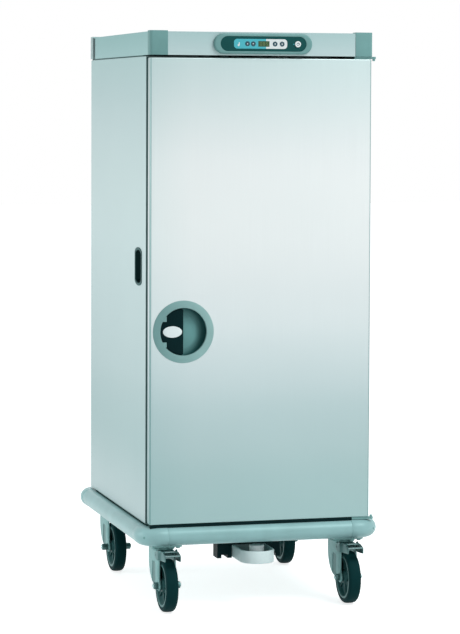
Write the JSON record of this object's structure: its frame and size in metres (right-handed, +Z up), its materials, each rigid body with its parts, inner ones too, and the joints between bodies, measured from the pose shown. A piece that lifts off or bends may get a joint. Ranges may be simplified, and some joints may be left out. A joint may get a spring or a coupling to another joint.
{
  "type": "insulated food carrier",
  "caption": "Tall insulated meal trolley with a hinged door, recessed paddle latch, crown control panel, tray racks, wrap-round bumper and braked swivel castors.",
  "frame": {"origin": "centre of the overall bounding box at floor level", "axes": "+X to the right of the door, +Y from the door to the back, +Z up"},
  "size_m": [0.7636, 0.9502, 1.7476],
  "materials": {
    "stainless": "satin brushed",
    "inner_stainless": "satin brushed",
    "aluminium": "satin anodised",
    "teal_plastic": "fine grain",
    "bumper_plastic": "satin",
    "black_plastic": "fine grain",
    "dark_fascia": "satin",
    "key_plastic": "satin",
    "white_plastic": "satin",
    "pale_plastic": "satin",
    "seal_rubber": "matt",
    "tyre_rubber": "matt",
    "hub_plastic": "satin",
    "zinc": "zinc plated",
    "foam": "rigid foam",
    "heater_steel": "heat tinted"
  },
  "bodies": {
    "cabinet": {"outer_casing": "stainless", "insulation_core": "foam", "inner_liner": "inner_stainless", "front_frame": "black_plastic", "tray_rack_left_lower": "inner_stainless", "tray_rack_left_upper": "inner_stainless", "tray_rack_right_lower": "inner_stainless", "tray_rack_right_upper": "inner_stainless", "duct_panel": "inner_stainless", "fan_motor": "zinc", "heater_element": "heater_steel", "crown_cover": "aluminium", "crown_corner_front_left": "teal_plastic", "crown_corner_front_right": "teal_plastic", "crown_corner_rear_left": "teal_plastic", "crown_corner_rear_right": "teal_plastic", "control_bezel": "teal_plastic", "control_fascia": "dark_fascia", "mains_inlet": "black_plastic", "hinge_bracket_top": "zinc", "hinge_bracket_bottom": "zinc", "grip_cup_left": "black_plastic", "grip_cup_right": "black_plastic", "chassis": "zinc", "bumper_rail": "bumper_plastic", "bumper_corner_front_left": "bumper_plastic", "bumper_corner_front_right": "bumper_plastic", "bumper_corner_rear_left": "bumper_plastic", "bumper_corner_rear_right": "bumper_plastic", "tow_bracket": "black_plastic", "tow_arm": "pale_plastic"},
    "door": {"door_skin": "stainless", "door_inner_panel": "inner_stainless", "door_insulation": "foam", "door_seal": "seal_rubber", "latch_bowl": "teal_plastic", "hinge_leaf_top": "zinc", "hinge_leaf_bottom": "zinc"},
    "paddle": {"latch_paddle": "black_plastic"},
    "bolt": {"latch_bolt": "zinc"},
    "fan": {"fan_impeller": "zinc"},
    "switch": {"main_switch": "white_plastic"},
    "key_body_1": {"key_1": "key_plastic"},
    "key_body_2": {"key_2": "key_plastic"},
    "key_body_3": {"key_3": "key_plastic"},
    "key_body_4": {"key_4": "key_plastic"},
    "castor_front_left": {"castor_fork_front_left": "zinc"},
    "wheel_front_left": {"castor_hub_front_left": "hub_plastic", "castor_tyre_front_left": "tyre_rubber"},
    "castor_front_right": {"castor_fork_front_right": "zinc"},
    "wheel_front_right": {"castor_hub_front_right": "hub_plastic", "castor_tyre_front_right": "tyre_rubber"},
    "castor_rear_left": {"castor_fork_rear_left": "zinc"},
    "wheel_rear_left": {"castor_hub_rear_left": "hub_plastic", "castor_tyre_rear_left": "tyre_rubber"},
    "castor_rear_right": {"castor_fork_rear_right": "zinc"},
    "wheel_rear_right": {"castor_hub_rear_right": "hub_plastic", "castor_tyre_rear_right": "tyre_rubber"},
    "pedal_front_left": {"brake_pedal_front_left": "zinc"},
    "pedal_front_right": {"brake_pedal_front_right": "zinc"}
  },
  "joints": [
    {"name": "door_hinge", "type": "hinge", "parent": "cabinet", "child": "door", "pos_m": [0.353, -0.41365, 0.267], "axis": [0, 0, 1], "range_deg": [0, 240]},
    {"name": "paddle_pull", "type": "hinge", "parent": "door", "child": "paddle", "pos_m": [-0.2985, -0.41115, 0.8467], "axis": [0, 0, -1], "range_deg": [0, 25], "stiffness_Nm_per_rad": 0.5, "springref_deg": -14.32},
    {"name": "bolt_slide", "type": "slide", "parent": "door", "child": "bolt", "axis": [1, 0, 0], "range_m": [0, 0.011]},
    {"name": "fan_spin", "type": "hinge", "parent": "cabinet", "child": "fan", "pos_m": [0, 0.36565, 1], "axis": [0, 1, 0], "continuous": true},
    {"name": "key_1_press", "type": "slide", "parent": "cabinet", "child": "key_body_1", "axis": [0, 1, 0], "range_m": [0, 0.0008], "stiffness_N_per_m": 400},
    {"name": "key_2_press", "type": "slide", "parent": "cabinet", "child": "key_body_2", "axis": [0, 1, 0], "range_m": [0, 0.0008], "stiffness_N_per_m": 400},
    {"name": "key_3_press", "type": "slide", "parent": "cabinet", "child": "key_body_3", "axis": [0, 1, 0], "range_m": [0, 0.0008], "stiffness_N_per_m": 400},
    {"name": "key_4_press", "type": "slide", "parent": "cabinet", "child": "key_body_4", "axis": [0, 1, 0], "range_m": [0, 0.0008], "stiffness_N_per_m": 400},
    {"name": "switch_press", "type": "slide", "parent": "cabinet", "child": "switch", "axis": [0, 1, 0], "range_m": [0, 0.0012], "stiffness_N_per_m": 500},
    {"name": "swivel_front_left", "type": "hinge", "parent": "cabinet", "child": "castor_front_left", "pos_m": [-0.2865, -0.34315, 0.1955], "axis": [0, 0, 1], "continuous": true},
    {"name": "roll_front_left", "type": "hinge", "parent": "castor_front_left", "child": "wheel_front_left", "pos_m": [-0.2865, -0.39515, 0.08], "axis": [1, 0, 0], "continuous": true},
    {"name": "pedal_press_front_left", "type": "hinge", "parent": "castor_front_left", "child": "pedal_front_left", "pos_m": [-0.2865, -0.37315, 0.17], "axis": [1, 0, 0], "range_deg": [0, 10]},
    {"name": "swivel_front_right", "type": "hinge", "parent": "cabinet", "child": "castor_front_right", "pos_m": [0.2865, -0.34315, 0.1955], "axis": [0, 0, 1], "continuous": true},
    {"name": "roll_front_right", "type": "hinge", "parent": "castor_front_right", "child": "wheel_front_right", "pos_m": [0.2865, -0.39515, 0.08], "axis": [1, 0, 0], "continuous": true},
    {"name": "pedal_press_front_right", "type": "hinge", "parent": "castor_front_right", "child": "pedal_front_right", "pos_m": [0.2865, -0.37315, 0.17], "axis": [1, 0, 0], "range_deg": [0, 10]},
    {"name": "swivel_rear_left", "type": "hinge", "parent": "cabinet", "child": "castor_rear_left", "pos_m": [-0.2865, 0.35185, 0.1955], "axis": [0, 0, 1], "continuous": true},
    {"name": "roll_rear_left", "type": "hinge", "parent": "castor_rear_left", "child": "wheel_rear_left", "pos_m": [-0.2865, 0.29985, 0.08], "axis": [1, 0, 0], "continuous": true},
    {"name": "swivel_rear_right", "type": "hinge", "parent": "cabinet", "child": "castor_rear_right", "pos_m": [0.2865, 0.35185, 0.1955], "axis": [0, 0, 1], "continuous": true},
    {"name": "roll_rear_right", "type": "hinge", "parent": "castor_rear_right", "child": "wheel_rear_right", "pos_m": [0.2865, 0.29985, 0.08], "axis": [1, 0, 0], "continuous": true}
  ],
  "couplings": [
    {"joint": "bolt_slide", "follows": "paddle_pull", "m_per_rad": 0.0252}
  ]
}
